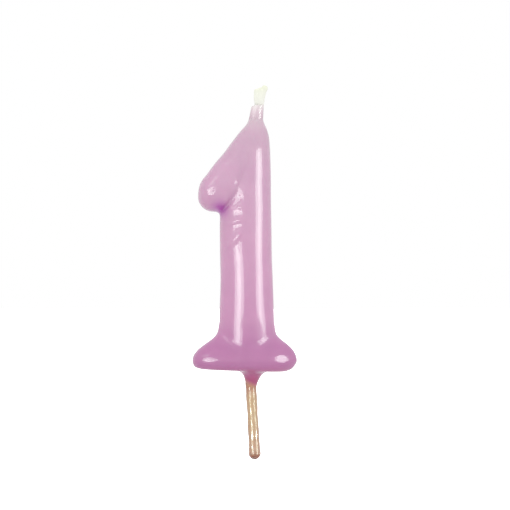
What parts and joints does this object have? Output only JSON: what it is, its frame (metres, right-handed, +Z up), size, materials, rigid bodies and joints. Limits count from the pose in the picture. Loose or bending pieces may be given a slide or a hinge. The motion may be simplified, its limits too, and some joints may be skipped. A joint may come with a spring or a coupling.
{
  "type": "numeral birthday candle on a wooden pick",
  "caption": "Dipped-wax candle in the shape of a numeral one, with a flared foot, a plaited cotton wick and a glazed round wooden pick to push into a cake.",
  "frame": {"origin": "on the pick's axis, level with the flat underside of the foot", "axes": "+Z up the numeral to the wick, +Y from the face that is read towards its back, +X to the reader's right"},
  "size_m": [0.0235, 0.0098, 0.0842],
  "materials": {
    "paraffin": "uncoloured paraffin wax, cast",
    "coloured_wax": "mauve wax, dipped and glossy",
    "thin_wax": "the same wax, thin enough to see through",
    "cotton": "undyed cotton yarn",
    "birch": "plain turned birch",
    "clear_glaze": "clear amber gloss"
  },
  "bodies": {
    "root": {"wax_core": "paraffin", "colour_coat": "coloured_wax", "wick_film": "thin_wax", "wick_yarn_1": "cotton", "wick_yarn_2": "cotton", "wick_yarn_3": "cotton", "wooden_pick": "birch", "pick_glaze": "clear_glaze"}
  },
  "joints": []
}
